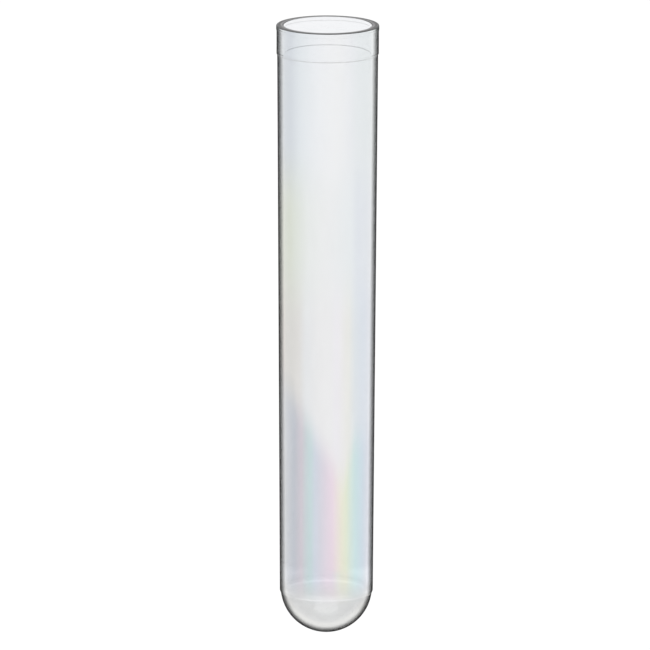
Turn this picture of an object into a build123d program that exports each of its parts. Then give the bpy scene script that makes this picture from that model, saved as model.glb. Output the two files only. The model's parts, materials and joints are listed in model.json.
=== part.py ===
from build123d import *
import os
from math import asin, degrees, sqrt

# A 12 x 75 mm round-bottomed test tube, injection moulded in one piece from clear polystyrene.
# Millimetres. The origin is the lowest point of the round bottom, on the tube's axis, and +Z runs up
# the axis to the open mouth.

# ---- driving dimensions ----
TUBE_LENGTH = 75.0

# outside, from the bottom up
BOWL_RADIUS = 5.55          # the round bottom is part of a sphere
SEAM_HEIGHT = 5.0           # where the mould's bottom insert meets its long cavity
BODY_FOOT_RADIUS = 5.645    # the body's radius at that seam, a little proud of the bowl
BODY_TOP_RADIUS = 6.09      # the body widens upwards by this draft, so that it leaves the mould
COLLAR_RADIUS = 6.175
COLLAR_HEIGHT = 3.5
LIP_RADIUS = 6.22
LIP_HEIGHT = 0.55

# inside, from the mouth down
MOUTH_RADIUS = 5.3
MOUTH_LAND = 6.0            # the straight stretch of bore that a plug cap seals on
BORE_FOOT_RADIUS = 4.86     # the drafted bore ends here, in a round floor of the same radius
FLOOR_THICKNESS = 0.95

RIM_ROUNDING = 0.12

# ---- heights and angles that follow from them ----
collar_foot = TUBE_LENGTH - COLLAR_HEIGHT
lip_foot = TUBE_LENGTH - LIP_HEIGHT
land_foot = TUBE_LENGTH - MOUTH_LAND
seam_below_centre = BOWL_RADIUS - SEAM_HEIGHT
bowl_top_radius = sqrt(BOWL_RADIUS**2 - seam_below_centre**2)
bowl_arc = 90 - degrees(asin(seam_below_centre / BOWL_RADIUS))
floor_centre = FLOOR_THICKNESS + BORE_FOOT_RADIUS

with BuildPart() as tube:
    # half of the wall's section, turned once around the axis
    with BuildSketch(Plane.XZ):
        with BuildLine():
            CenterArc((0, BOWL_RADIUS), BOWL_RADIUS, -90, bowl_arc)
            Polyline(
                (bowl_top_radius, SEAM_HEIGHT),
                (BODY_FOOT_RADIUS, SEAM_HEIGHT),
                (BODY_TOP_RADIUS, collar_foot),
                (COLLAR_RADIUS, collar_foot),
                (COLLAR_RADIUS, lip_foot),
                (LIP_RADIUS, lip_foot),
                (LIP_RADIUS, TUBE_LENGTH),
                (MOUTH_RADIUS, TUBE_LENGTH),
                (MOUTH_RADIUS, land_foot),
                (BORE_FOOT_RADIUS, floor_centre),
            )
            CenterArc((0, floor_centre), BORE_FOOT_RADIUS, -90, 90)
            Line((0, FLOOR_THICKNESS), (0, 0))
        make_face()
    revolve(axis=Axis.Z)

    # both edges of the rim are slightly rounded
    rim = tube.edges().filter_by(GeomType.CIRCLE).group_by(Axis.Z)[-1]
    fillet(rim, RIM_ROUNDING)

tube.part.label = "tube"

os.makedirs("parts", exist_ok=True)
export_step(tube.part, "parts/tube.step")
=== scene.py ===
import bpy
import json
from math import asin, cos, degrees, hypot, pi, radians, sin, sqrt, tan
from mathutils import Matrix, Vector


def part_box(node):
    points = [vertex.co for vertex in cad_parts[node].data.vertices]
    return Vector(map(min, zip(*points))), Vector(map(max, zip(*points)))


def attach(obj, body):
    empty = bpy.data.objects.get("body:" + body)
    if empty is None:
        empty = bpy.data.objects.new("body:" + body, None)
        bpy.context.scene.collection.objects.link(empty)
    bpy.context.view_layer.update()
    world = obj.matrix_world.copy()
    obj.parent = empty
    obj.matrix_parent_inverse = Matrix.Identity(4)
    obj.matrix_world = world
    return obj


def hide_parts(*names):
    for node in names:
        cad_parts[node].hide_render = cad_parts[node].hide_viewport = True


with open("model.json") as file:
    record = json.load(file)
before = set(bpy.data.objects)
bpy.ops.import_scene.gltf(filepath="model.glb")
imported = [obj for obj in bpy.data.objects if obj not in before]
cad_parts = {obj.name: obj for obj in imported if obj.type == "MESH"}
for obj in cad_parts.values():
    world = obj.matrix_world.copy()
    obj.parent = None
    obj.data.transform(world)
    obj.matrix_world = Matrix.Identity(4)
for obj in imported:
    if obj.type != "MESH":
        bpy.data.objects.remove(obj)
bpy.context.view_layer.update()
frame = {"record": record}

# A clear polystyrene test tube. Metres, in the CAD frame: the origin is the lowest point of the
# round bottom, on the axis, and +Z runs up to the open mouth.
MM = 0.001

# ---- sizes from the frame ----
low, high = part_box("tube")
TUBE_LENGTH = high[2]
LIP_RADIUS = high[0]
bore_mount = next(m for m in frame["record"]["mounts"] if m["name"] == "mouth")
collar_mount = next(m for m in frame["record"]["mounts"] if m["name"] == "collar")
MOUTH_RADIUS = bore_mount["dims"]["r_mm"] * MM
COLLAR_RADIUS = collar_mount["dims"]["r_mm"] * MM

# ---- the rest of the section, as the CAD has it ----
BOWL_RADIUS = 5.55 * MM
SEAM_HEIGHT = 5.0 * MM
BODY_FOOT_RADIUS = 5.645 * MM
BODY_TOP_RADIUS = 6.09 * MM
COLLAR_HEIGHT = 3.5 * MM
LIP_HEIGHT = 0.55 * MM
MOUTH_LAND = 6.0 * MM
BORE_FOOT_RADIUS = 4.86 * MM
FLOOR_THICKNESS = 0.95 * MM

RIM_MIDDLE = (MOUTH_RADIUS + LIP_RADIUS) / 2

# ---- small moulding details ----
RIM_ROUNDING = 0.12 * MM
EDGE_ROUNDING = 0.03 * MM       # the outer edge and the root of each small step
SEAM_SLOPE = 0.18 * MM          # the step at the seam is a slope, this far above and below it
SEAM_ROUNDING = 0.3 * MM
WITNESS_HEIGHT = 5.73 * MM      # a second, fainter ring above the seam
WITNESS_DEPTH = 0.02 * MM
WITNESS_WIDTH = 0.10 * MM
GATE_RADIUS = 0.75 * MM         # the dimple left by the mould's gate, under the round bottom
GATE_DEPTH = 0.06 * MM
RIM_SHADED_OUTSIDE = 0.55       # how much of the rim's outer rounding gets the rim's painted light and shade
RIM_SHADED_INSIDE = 0.25        # and how much of its inner one

# ---- mesh fineness ----
SEGMENTS = 288
BOWL_STEPS = 56
GATE_STEPS = 14
CORNER_STEPS = 6
ROW_HEIGHT = 1.5 * MM
GUARD = 0.02 * MM               # rows this close to a rounding keep the straight wall flat
KEEP_NORMAL = (0, 0, 0)         # a custom normal that leaves the mesh's own one in place


# ------------------------------------------------------------------ the tube's section

def arc(centre, radius, start, end, steps):
    """Points (r, z) on an arc, with angles in degrees from straight outwards, anticlockwise."""
    turns = [radians(start + (end - start) * i / steps) for i in range(steps + 1)]
    return [(centre[0] + radius * cos(t), centre[1] + radius * sin(t)) for t in turns]


def rounded(before, corner, after, radius):
    """The arc of this radius that rounds the corner between its two neighbours."""
    c = Vector(corner)
    to_before = (Vector(before) - c).normalized()
    to_after = (Vector(after) - c).normalized()
    half = to_before.angle(to_after) / 2
    tangent = radius / tan(half)
    centre = c + (to_before + to_after).normalized() * (radius / sin(half))
    first = c + to_before * tangent - centre
    last = c + to_after * tangent - centre
    turn = first.angle_signed(last)
    points = []
    for i in range(CORNER_STEPS + 1):
        spoke = first.copy()
        spoke.rotate(Matrix.Rotation(-turn * i / CORNER_STEPS, 2))
        points.append(tuple(centre + spoke))
    return points


def run_between(start, end):
    """Rows up a straight wall, between the ends, with a guard row close to each end."""
    length = hypot(end[0] - start[0], end[1] - start[1])
    if length < 4 * GUARD:
        return []
    rows = max(1, round(length / ROW_HEIGHT))
    shares = [GUARD / length] + [i / rows for i in range(1, rows)] + [1 - GUARD / length]
    return [(start[0] + (end[0] - start[0]) * s, start[1] + (end[1] - start[1]) * s) for s in shares]


def polyline(corners):
    """A wall through corners (r, z, rounding), rounded at each inner one and with rows between them."""
    points = []
    for i, (r, z, rounding) in enumerate(corners):
        if rounding:
            step = rounded(corners[i - 1][:2], (r, z), corners[i + 1][:2], rounding)
        else:
            step = [(r, z)]
        if points:
            points += run_between(points[-1], step[0])
        points += step
    return points


def body_radius(z):
    share = (z - SEAM_HEIGHT) / (TUBE_LENGTH - COLLAR_HEIGHT - SEAM_HEIGHT)
    return BODY_FOOT_RADIUS + (BODY_TOP_RADIUS - BODY_FOOT_RADIUS) * share


def bowl_radius_at(z):
    return sqrt(BOWL_RADIUS**2 - (BOWL_RADIUS - z) ** 2)


def gate_dimple():
    """From the lowest point, on the axis, to the dimple's edge in the round bottom."""
    points = []
    for i in range(GATE_STEPS):
        r = GATE_RADIUS * i / GATE_STEPS
        bowl_z = BOWL_RADIUS - sqrt(BOWL_RADIUS**2 - r * r)
        points.append((r, bowl_z + GATE_DEPTH * (0.5 + 0.5 * cos(pi * r / GATE_RADIUS)) ** 2))
    return points


def outside():
    """From the lowest point, on the axis, up to the middle of the rim."""
    slope_foot = SEAM_HEIGHT - SEAM_SLOPE
    slope_top = SEAM_HEIGHT + SEAM_SLOPE
    seam_below_centre = BOWL_RADIUS - slope_foot
    gate_edge = degrees(asin(GATE_RADIUS / BOWL_RADIUS))
    bowl_top = -degrees(asin(seam_below_centre / BOWL_RADIUS))
    bowl = arc((0, BOWL_RADIUS), BOWL_RADIUS, -90 + gate_edge, bowl_top, BOWL_STEPS)

    collar_foot = TUBE_LENGTH - COLLAR_HEIGHT
    lip_foot = TUBE_LENGTH - LIP_HEIGHT
    half = WITNESS_WIDTH / 2
    wall = polyline([
        (*bowl[-2], 0),
        (bowl_radius_at(slope_foot), slope_foot, SEAM_ROUNDING),
        (body_radius(slope_top), slope_top, SEAM_ROUNDING),
        (body_radius(WITNESS_HEIGHT - half), WITNESS_HEIGHT - half, EDGE_ROUNDING),
        (body_radius(WITNESS_HEIGHT) - WITNESS_DEPTH, WITNESS_HEIGHT, EDGE_ROUNDING),
        (body_radius(WITNESS_HEIGHT + half), WITNESS_HEIGHT + half, EDGE_ROUNDING),
        (BODY_TOP_RADIUS, collar_foot, EDGE_ROUNDING),
        (COLLAR_RADIUS, collar_foot, EDGE_ROUNDING),
        (COLLAR_RADIUS, lip_foot, EDGE_ROUNDING / 2),
        (LIP_RADIUS, lip_foot, EDGE_ROUNDING / 2),
        (LIP_RADIUS, TUBE_LENGTH, RIM_ROUNDING),
        (RIM_MIDDLE, TUBE_LENGTH, 0),
    ])
    return gate_dimple() + bowl[:-2] + wall


def inside():
    """From the middle of the rim down the bore to the middle of the round floor."""
    land_foot = TUBE_LENGTH - MOUTH_LAND
    floor_centre = FLOOR_THICKNESS + BORE_FOOT_RADIUS
    floor = arc((0, floor_centre), BORE_FOOT_RADIUS, 0, -90, BOWL_STEPS)
    wall = polyline([
        (RIM_MIDDLE, TUBE_LENGTH, 0),
        (MOUTH_RADIUS, TUBE_LENGTH, RIM_ROUNDING),
        (MOUTH_RADIUS, land_foot, 0),
        (*floor[0], 0),
    ])
    return wall[1:] + floor[1:]


def lathe(name, profile, bore_starts):
    """One closed mesh, turned from a profile that starts and ends on the axis."""
    outer_rim_foot = TUBE_LENGTH - RIM_SHADED_OUTSIDE * RIM_ROUNDING
    inner_rim_foot = TUBE_LENGTH - RIM_SHADED_INSIDE * RIM_ROUNDING
    verts = [(0, 0, profile[0][1])]
    for r, z in profile[1:-1]:
        for i in range(SEGMENTS):
            turn = 2 * pi * i / SEGMENTS
            verts.append((r * cos(turn), r * sin(turn), z))
    verts.append((0, 0, profile[-1][1]))

    belts = len(profile) - 1
    faces = []
    for belt in range(belts):
        below = 1 + (belt - 1) * SEGMENTS
        above = below + SEGMENTS
        for i in range(SEGMENTS):
            j = (i + 1) % SEGMENTS
            if belt == 0:
                faces.append((0, above + j, above + i))
            elif belt == belts - 1:
                faces.append((below + i, below + j, len(verts) - 1))
            else:
                faces.append((below + i, below + j, above + j, above + i))

    mesh = bpy.data.meshes.new(name)
    mesh.from_pydata(verts, [], faces)
    mesh.shade_smooth()
    bore = mesh.attributes.new("bore_side", "FLOAT", "FACE")
    for face in mesh.polygons:
        belt = face.index // SEGMENTS
        in_bore = belt >= bore_starts
        bore.data[face.index].value = float(in_bore)
        rim_foot = inner_rim_foot if in_bore else outer_rim_foot
        face.material_index = int(min(profile[belt][1], profile[belt + 1][1]) >= rim_foot)
    blend_seam(mesh)
    piece = bpy.data.objects.new(name, mesh)
    bpy.context.scene.collection.objects.link(piece)
    return piece


def blend_seam(mesh):
    """The seam is polished over, so its small step is shaded as if the bottom ran on into the body."""
    seam_low = SEAM_HEIGHT - 3 * SEAM_SLOPE
    seam_high = WITNESS_HEIGHT + 2 * WITNESS_WIDTH
    normals = []
    for vert in mesh.vertices:
        x, y, z = vert.co
        outer_side = hypot(x, y) > (BORE_FOOT_RADIUS + bowl_radius_at(seam_low)) / 2
        if outer_side and seam_low < z < seam_high:
            normals.append(Vector((x, y, min(z - BOWL_RADIUS, 0))).normalized())
        else:
            normals.append(KEEP_NORMAL)
    mesh.normals_split_custom_set_from_vertices(normals)


outer = outside()
inner = inside()
tube = lathe("test_tube", outer + inner, len(outer))
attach(tube, "root")
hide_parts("tube")


# ------------------------------------------------------------------ node helpers

class Nodes:
    """Short names for the shader nodes used here. Each call returns an output socket."""

    def __init__(self, tree):
        self.tree = tree
        self.new = tree.nodes.new
        tree.nodes.clear()

    def put(self, socket, value):
        if isinstance(value, bpy.types.NodeSocket):
            self.tree.links.new(value, socket)
        else:
            socket.default_value = value

    def math(self, operation, *values):
        node = self.new("ShaderNodeMath")
        node.operation = operation
        for socket, value in zip(node.inputs, values):
            self.put(socket, value)
        return node.outputs[0]

    def smooth(self, value, start, end):
        """From 0 at start to 1 at end, softly, and level beyond both. Start may be above end."""
        node = self.new("ShaderNodeMapRange")
        node.interpolation_type = "SMOOTHSTEP"
        self.put(node.inputs["Value"], value)
        self.put(node.inputs["From Min"], start)
        self.put(node.inputs["From Max"], end)
        return node.outputs["Result"]

    def ramp(self, value, stops):
        """A colour that follows value through stops of (place from 0 to 1, colour)."""
        node = self.new("ShaderNodeValToRGB")
        elements = node.color_ramp.elements
        elements[0].position, elements[0].color = stops[0][0], (*stops[0][1], 1)
        elements[1].position, elements[1].color = stops[-1][0], (*stops[-1][1], 1)
        for place, colour in stops[1:-1]:
            elements.new(place).color = (*colour, 1)
        self.put(node.inputs[0], value)
        return node.outputs["Color"]

    def curve(self, value, stops):
        """A number that follows value through stops of (place from 0 to 1, number)."""
        return self.ramp(value, [(place, (number,) * 3) for place, number in stops])

    def mix(self, factor, a, b, blend="MIX"):
        node = self.new("ShaderNodeMix")
        node.data_type = "RGBA"
        node.blend_type = blend
        node.clamp_result = True
        self.put(node.inputs["Factor"], factor)
        self.put(node.inputs[6], a if isinstance(a, bpy.types.NodeSocket) else (*a, 1))
        self.put(node.inputs[7], b if isinstance(b, bpy.types.NodeSocket) else (*b, 1))
        return node.outputs[2]

    def across(self, lean, stops):
        """A colour that follows lean, from -1 on the left to 1 on the right."""
        places = [(place / 2 + 0.5, colour) for place, colour in stops]
        return self.ramp(self.math("MULTIPLY_ADD", lean, 0.5, 0.5), places)

    def window(self, value, start, end, softness):
        """1 from start to end and 0 elsewhere, with soft borders."""
        after = self.smooth(value, start, self.math("ADD", start, softness))
        before = self.smooth(value, end, self.math("ADD", end, softness))
        return self.math("MULTIPLY", after, self.math("SUBTRACT", 1.0, before))

    def noise(self, vector, scale, detail):
        node = self.new("ShaderNodeTexNoise")
        self.put(node.inputs["Vector"], vector)
        node.inputs["Scale"].default_value = scale
        node.inputs["Detail"].default_value = detail
        return node.outputs[0]

    def vector(self, x, y, z):
        node = self.new("ShaderNodeCombineXYZ")
        for socket, value in zip(node.inputs, (x, y, z)):
            self.put(socket, value)
        return node.outputs[0]

    def bump(self, value, place, half_width):
        """1 at place, falling softly to 0 on both sides."""
        away = self.math("ABSOLUTE", self.math("SUBTRACT", value, place))
        return self.math("SUBTRACT", 1.0, self.smooth(away, 0.0, half_width))


# ------------------------------------------------------------------ the clear plastic

def grey(value):
    return (value, value, value)


def linear(shown):
    """The linear value that shows as this display value, from 0 to 255."""
    share = shown / 255
    return share / 12.92 if shown < 11 else ((share + 0.055) / 1.055) ** 2.4


def seen(red, green, blue):
    """The linear colour that shows as these display values, from 0 to 255."""
    return (linear(red), linear(green), linear(blue))


POLYSTYRENE_IOR = 1.59
WALL_ROUGHNESS = 0.02
RIM_ROUGHNESS = 0.3

# the wall's fine streaks: noise per metre, how much of it is left along the tube, and
# (noise, what is left of the light)
STREAK_SCALE = 4200.0
STREAK_STRETCH = 0.06
STREAK_SHADE = [(0.0, 0.95), (0.35, 0.972), (0.65, 1.0), (1.0, 1.0)]

# the rim's grain, in the same way
RIM_GRAIN_SCALE = 900.0
RIM_GRAIN_SHADE = [(0.0, 0.7), (0.4, 0.85), (0.65, 1.0), (1.0, 1.0)]

# the faint colours of the clear wall, from the left side to the right one, at four heights: pale colours of
# the plastic, with painted shade that darkens them part way towards both sides
TOP_TINTS = [
    (-1.00, seen(226, 230, 234)), (-0.80, seen(217, 222, 228)), (-0.60, seen(230, 235, 239)),
    (-0.20, seen(241, 243, 246)), (0.20, seen(244, 245, 246)), (0.50, seen(238, 240, 243)),
    (0.65, seen(234, 238, 240)), (1.00, seen(236, 240, 242)),
]
UPPER_TINTS = [
    (-1.00, seen(228, 231, 226)), (-0.80, seen(222, 226, 215)), (-0.70, seen(225, 230, 222)),
    (-0.40, seen(236, 239, 238)), (0.00, seen(240, 241, 242)), (0.50, seen(236, 240, 242)),
    (0.65, seen(229, 233, 239)), (1.00, seen(235, 238, 242)),
]
MIDDLE_TINTS = [
    (-1.00, seen(227, 225, 223)), (-0.75, seen(221, 220, 217)), (-0.60, seen(228, 226, 224)),
    (-0.45, seen(232, 234, 236)), (-0.20, seen(238, 238, 239)), (0.10, seen(240, 240, 241)),
    (0.20, seen(240, 238, 243)), (0.45, seen(238, 238, 234)), (0.60, seen(228, 233, 237)),
    (0.75, seen(224, 230, 238)), (1.00, seen(233, 235, 241)),
]
LOW_TINTS = [
    (-1.00, seen(226, 228, 230)), (-0.70, seen(196, 200, 208)), (-0.54, seen(212, 206, 214)),
    (-0.45, seen(205, 214, 218)), (-0.35, seen(203, 221, 223)), (-0.24, seen(213, 219, 230)),
    (-0.12, seen(220, 218, 228)), (0.00, seen(229, 219, 230)), (0.12, seen(237, 221, 232)),
    (0.22, seen(238, 228, 226)), (0.32, seen(237, 234, 218)), (0.42, seen(230, 236, 216)),
    (0.52, seen(218, 233, 226)), (0.62, seen(209, 231, 233)), (0.75, seen(212, 226, 236)),
    (0.85, seen(222, 226, 236)), (1.00, seen(228, 230, 236)),
]
BOWL_TINT = seen(225, 226, 226)

# how far up the lowest of them reach: (lean, share of the tube's length)
LOW_HEIGHT = [(-1.0, grey(0.43)), (0.0, grey(0.31)), (0.35, grey(0.26)), (0.6, grey(0.33)), (1.0, grey(0.34))]

# the bore's surface adds a faint tint of its own
BORE_TINT = seen(242, 243, 245)

# painted shade: the clear plastic's colour darkens where the wall is seen edge on, standing in for the dark
# edges that refraction gives it: (Layer Weight's Facing, what is left of the light)
EDGE_SHADE = [(0.0, 1.0), (0.52, 1.0), (0.66, 0.35), (0.80, 0.06), (1.0, 0.04)]

# the heights between which one list gives way to the next, and the lowest one to the bowl's tint
TOP_FADE = (52 * MM, 62 * MM)
UPPER_FADE = (38 * MM, 48 * MM)
LOW_FADE = (-3 * MM, 3 * MM)    # above and below the height that LOW_HEIGHT gives
BOWL_FADE = (8 * MM, 4 * MM)

# painted light and shade on the flat of the rim: grey rings, dark ones and a black outer edge, standing in
# for what the clear rim reflects and refracts, outwards: (distance from the axis in mm, display colour)
RIM_LIGHT_AND_SHADE_RINGS = [
    (5.30, seen(100, 100, 100)),
    (5.46, seen(96, 95, 96)),
    (5.54, seen(166, 165, 166)),
    (5.62, seen(160, 159, 160)),
    (5.72, seen(100, 98, 99)),
    (5.86, seen(50, 50, 51)),
    (5.96, seen(50, 50, 51)),
    (6.05, seen(116, 115, 116)),
    (6.12, seen(40, 40, 41)),
    (6.22, seen(16, 16, 17)),
]

# painted lines on the near wall: painted shade in a thin grey line at the collar's step, and painted light in
# a line at the seam
COLLAR_RING_HALF_WIDTH = 0.10 * MM
COLLAR_RING_STRENGTH = 0.75
COLLAR_RING_SHADE = grey(0.58)
SEAM_RING_HALF_WIDTH = 0.12 * MM

# how strongly the seam's painted light line shows, from the left side to the right one
SEAM_LIGHT = [(-1.0, grey(0.15)), (-0.62, grey(0.35)), (-0.5, grey(0.7)), (-0.3, grey(0.9)), (1.0, grey(0.6))]

# painted shade near the seam: the far wall is darkened by this share, so that its painted light ring shows,
# and the near wall, which stands in front of it a little higher, is lightened by as much: (start, end,
# softness)
SEAM_SHARE = grey(0.88)
FAR_SHARE_REACH = (2.4 * MM, 5.9 * MM, 0.9 * MM)
NEAR_SHARE_REACH = (4.6 * MM, 8.1 * MM, 1.0 * MM)

# light keeps nearly all of its strength where it leaves a wall, apart from the painted lines on the far wall:
# a painted shade line at the witness ring and a painted light line at the seam
LEAVING_TINT = grey(0.995)
FAR_WITNESS_HALF_WIDTH = 0.16 * MM
FAR_WITNESS_SHADE = grey(0.80)
FAR_SEAM_RING_HEIGHT = SEAM_HEIGHT + 0.1 * MM
FAR_SEAM_RING_HALF_WIDTH = 0.22 * MM


def place_on_tube(n):
    """Sockets for x, y and z on the tube."""
    apart = n.new("ShaderNodeSeparateXYZ")
    n.put(apart.inputs[0], n.new("ShaderNodeTexCoord").outputs["Object"])
    return apart.outputs


def edge_shade(n):
    """Painted shade: the darkening of a clear wall that is seen edge on."""
    edge_on = n.new("ShaderNodeLayerWeight")
    edge_on.inputs["Blend"].default_value = 0.5
    return n.curve(edge_on.outputs["Facing"], EDGE_SHADE)


def wall_tint(n, z, lean):
    """Faint colours all over the clear wall, with painted shade part way towards both sides."""
    top = n.across(lean, TOP_TINTS)
    upper = n.across(lean, UPPER_TINTS)
    middle = n.across(lean, MIDDLE_TINTS)
    low = n.across(lean, LOW_TINTS)
    wall = n.mix(n.smooth(z, *TOP_FADE), upper, top)
    wall = n.mix(n.smooth(z, *UPPER_FADE), middle, wall)
    above_low = n.math("SUBTRACT", z, n.math("MULTIPLY", n.across(lean, LOW_HEIGHT), TUBE_LENGTH))
    wall = n.mix(n.smooth(above_low, *LOW_FADE), low, wall)
    return n.mix(n.smooth(z, *BOWL_FADE), wall, BOWL_TINT)


def entering_tint(n, x, y, z):
    """What the outer wall does to light that enters it, with painted edge shade and painted lines at the
    collar and the seam.
    """
    lean = n.math("DIVIDE", x, BODY_FOOT_RADIUS)
    streaks = n.noise(n.vector(x, y, n.math("MULTIPLY", z, STREAK_STRETCH)), STREAK_SCALE, 2.0)
    tint = n.mix(1.0, wall_tint(n, z, lean), n.curve(streaks, STREAK_SHADE), "MULTIPLY")
    tint = n.mix(1.0, tint, edge_shade(n), "MULTIPLY")

    # painted shade: a thin grey line across everything at the step under the collar; painted light: a light
    # line at the seam
    collar_shade_line = n.bump(z, TUBE_LENGTH - COLLAR_HEIGHT, COLLAR_RING_HALF_WIDTH)
    tint = n.mix(n.math("MULTIPLY", collar_shade_line, COLLAR_RING_STRENGTH), tint, COLLAR_RING_SHADE)
    seam_light_line = n.math("MULTIPLY", n.bump(z, SEAM_HEIGHT, SEAM_RING_HALF_WIDTH), n.across(lean, SEAM_LIGHT))
    tint = n.mix(seam_light_line, tint, grey(1.0))

    # what the far side of the bore and the far wall add is left out here
    tint = n.mix(1.0, tint, BORE_TINT, "DIVIDE")
    # painted light: near the seam the near wall is lightened by the share that the far wall is darkened
    return n.mix(n.window(z, *NEAR_SHARE_REACH), tint, n.mix(1.0, tint, SEAM_SHARE, "DIVIDE"))


def leaving_tint(n, z):
    """What the outer wall does to light that leaves it, with painted shade near the seam and painted lines on
    the far wall.
    """
    tint = n.mix(n.window(z, *FAR_SHARE_REACH), LEAVING_TINT, SEAM_SHARE)
    tint = n.mix(n.bump(z, WITNESS_HEIGHT, FAR_WITNESS_HALF_WIDTH), tint, FAR_WITNESS_SHADE)
    return n.mix(n.bump(z, FAR_SEAM_RING_HEIGHT, FAR_SEAM_RING_HALF_WIDTH), tint, grey(1.0))


def polystyrene(name, roughness, transmission):
    """A new material, with its nodes and its shader, whose colour is still to come."""
    material = bpy.data.materials.new(name)
    material.use_nodes = True
    n = Nodes(material.node_tree)
    shader = n.new("ShaderNodeBsdfPrincipled")
    shader.inputs["Roughness"].default_value = roughness
    shader.inputs["IOR"].default_value = POLYSTYRENE_IOR
    shader.inputs["Transmission Weight"].default_value = transmission
    output = n.new("ShaderNodeOutputMaterial")
    n.put(output.inputs["Surface"], shader.outputs[0])
    return material, n, shader


def clear_polystyrene():
    material, n, shader = polystyrene("clear_polystyrene", WALL_ROUGHNESS, 1.0)
    x, y, z = place_on_tube(n)
    bore = n.new("ShaderNodeAttribute")
    bore.attribute_name = "bore_side"
    in_bore = bore.outputs["Fac"]
    leaving = n.new("ShaderNodeNewGeometry").outputs["Backfacing"]
    entering = n.mix(in_bore, entering_tint(n, x, y, z), BORE_TINT)
    tint = n.mix(leaving, entering, n.mix(in_bore, leaving_tint(n, z), LEAVING_TINT))

    # the shader tints by the root of its base colour at each surface, so the tint goes in squared
    n.put(shader.inputs["Base Color"], n.mix(1.0, tint, tint, "MULTIPLY"))
    return material


def rim_painted_light_and_shade():
    """The rim is shown as rough opaque grey, with painted light and shade in rings of grey and black, in
    place of what the clear rim reflects and refracts.
    """
    material, n, shader = polystyrene("rim_painted_light_and_shade", RIM_ROUGHNESS, 0.0)
    x, y, z = place_on_tube(n)
    out = n.math("SQRT", n.math("ADD", n.math("MULTIPLY", x, x), n.math("MULTIPLY", y, y)))
    inner_edge = RIM_LIGHT_AND_SHADE_RINGS[0][0]
    width = RIM_LIGHT_AND_SHADE_RINGS[-1][0] - inner_edge
    across = n.math("DIVIDE", n.math("SUBTRACT", out, inner_edge * MM), width * MM)
    rings = n.ramp(across, [((distance - inner_edge) / width, colour) for distance, colour in RIM_LIGHT_AND_SHADE_RINGS])
    grain = n.curve(n.noise(n.vector(x, y, z), RIM_GRAIN_SCALE, 3.0), RIM_GRAIN_SHADE)
    n.put(shader.inputs["Base Color"], n.mix(1.0, rings, grain, "MULTIPLY"))
    return material


tube.data.materials.append(clear_polystyrene())
tube.data.materials.append(rim_painted_light_and_shade())


# ------------------------------------------------------------------ floor, light and sky

FLOOR_SIZE = 40.0
FLOOR_DROP = 0.1 * MM           # the floor lies this far below the tube
FLOOR_LIGHT = 1.03
BACKDROP_RADIUS = 1.95
BACKDROP_HEIGHT = 1.5
BACKDROP_STEPS = 96
SOFTBOX_SIZE = 1.2
SOFTBOX_HEIGHT = 1.2
SOFTBOX_POWER = 5.0

# the sky's light: (direction, from 0 straight down to 1 straight up, brightness)
SKY_LEVELS = [(0.0, 0.06), (0.495, 0.06), (0.50, 1.0), (0.52, 1.0), (0.60, 0.55), (1.0, 0.5)]


def add_object(name, data):
    thing = bpy.data.objects.new(name, data)
    bpy.context.scene.collection.objects.link(thing)
    return thing


def glowing_white():
    material = bpy.data.materials.new("pale_floor")
    material.use_nodes = True
    n = Nodes(material.node_tree)
    glow = n.new("ShaderNodeEmission")
    glow.inputs["Strength"].default_value = FLOOR_LIGHT
    output = n.new("ShaderNodeOutputMaterial")
    n.put(output.inputs["Surface"], glow.outputs[0])
    return material


def pale_floor(material):
    half = FLOOR_SIZE / 2
    corners = [(-half, -half, 0), (half, -half, 0), (half, half, 0), (-half, half, 0)]
    mesh = bpy.data.meshes.new("floor")
    mesh.from_pydata(corners, [], [(0, 1, 2, 3)])
    mesh.materials.append(material)
    floor = add_object("floor", mesh)
    floor.location.z = -FLOOR_DROP
    floor.visible_glossy = False


def backdrop(material):
    """A pale round wall behind everything, which only the camera sees."""
    verts = []
    faces = []
    for i in range(BACKDROP_STEPS):
        turn = 2 * pi * i / BACKDROP_STEPS
        x = BACKDROP_RADIUS * cos(turn)
        y = BACKDROP_RADIUS * sin(turn)
        verts += [(x, y, 0), (x, y, BACKDROP_HEIGHT)]
        j = (i + 1) % BACKDROP_STEPS
        faces.append((2 * i, 2 * j, 2 * j + 1, 2 * i + 1))
    mesh = bpy.data.meshes.new("backdrop")
    mesh.from_pydata(verts, [], faces)
    mesh.materials.append(material)
    wall = add_object("backdrop", mesh)
    for ray in ("diffuse", "glossy", "transmission", "volume_scatter", "shadow"):
        setattr(wall, "visible_" + ray, False)


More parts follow.
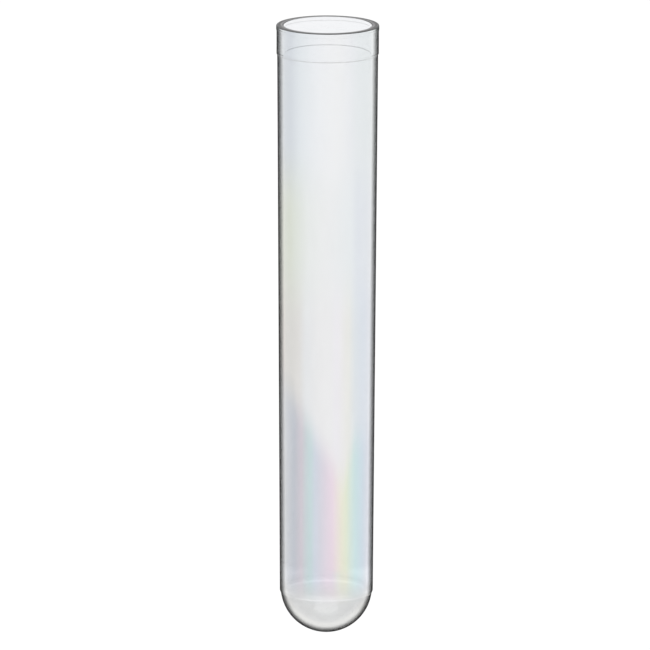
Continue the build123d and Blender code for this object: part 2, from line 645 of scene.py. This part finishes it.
def sky():
    world = bpy.data.worlds.new("studio")
    world.use_nodes = True
    n = Nodes(world.node_tree)
    apart = n.new("ShaderNodeSeparateXYZ")
    n.put(apart.inputs[0], n.new("ShaderNodeTexCoord").outputs["Generated"])
    upward = n.math("ADD", n.math("MULTIPLY", apart.outputs[2], 0.5), 0.5)
    background = n.new("ShaderNodeBackground")
    n.put(background.inputs["Color"], n.curve(upward, SKY_LEVELS))
    output = n.new("ShaderNodeOutputWorld")
    n.put(output.inputs["Surface"], background.outputs[0])
    bpy.context.scene.world = world


def softbox():
    light = bpy.data.lights.new("softbox", "AREA")
    light.size = SOFTBOX_SIZE
    light.energy = SOFTBOX_POWER
    add_object("softbox", light).location = (0, 0, SOFTBOX_HEIGHT)


white = glowing_white()
pale_floor(white)
backdrop(white)
sky()
softbox()


# ------------------------------------------------------------------ camera

EYE_DISTANCE = 1.839
EYE_ELEVATION = radians(11.87)
EYE_ROLL = radians(0.144)
AIM = Vector((-0.24 * MM, 0, 38.0 * MM))
FOCAL_LENGTH = 841              # millimetres, for a sensor of this width
SENSOR_WIDTH = 36
CLIP_START = 0.05
CLIP_END = 200


def aimed_camera():
    lens = bpy.data.cameras.new("camera")
    lens.lens = FOCAL_LENGTH
    lens.sensor_width = SENSOR_WIDTH
    lens.clip_start = CLIP_START
    lens.clip_end = CLIP_END
    camera = add_object("camera", lens)
    middle = Vector((0, 0, TUBE_LENGTH / 2))
    camera.location = middle + EYE_DISTANCE * Vector((0, -cos(EYE_ELEVATION), sin(EYE_ELEVATION)))
    look = (AIM - camera.location).to_track_quat("-Z", "Y").to_matrix()
    camera.rotation_euler = (look @ Matrix.Rotation(EYE_ROLL, 3, "Z")).to_euler()
    return camera


scene = bpy.context.scene
scene.camera = aimed_camera()

# light crosses the tube's four surfaces many times, and the colours are shown as they are
BOUNCES = 24
scene.view_settings.view_transform = "Standard"
scene.cycles.max_bounces = BOUNCES
scene.cycles.transmission_bounces = BOUNCES
scene.cycles.glossy_bounces = BOUNCES
scene.cycles.caustics_reflective = True
scene.cycles.caustics_refractive = True
scene.cycles.blur_glossy = 0.0
scene.cycles.use_adaptive_sampling = False
scene.cycles.denoising_input_passes = "RGB"
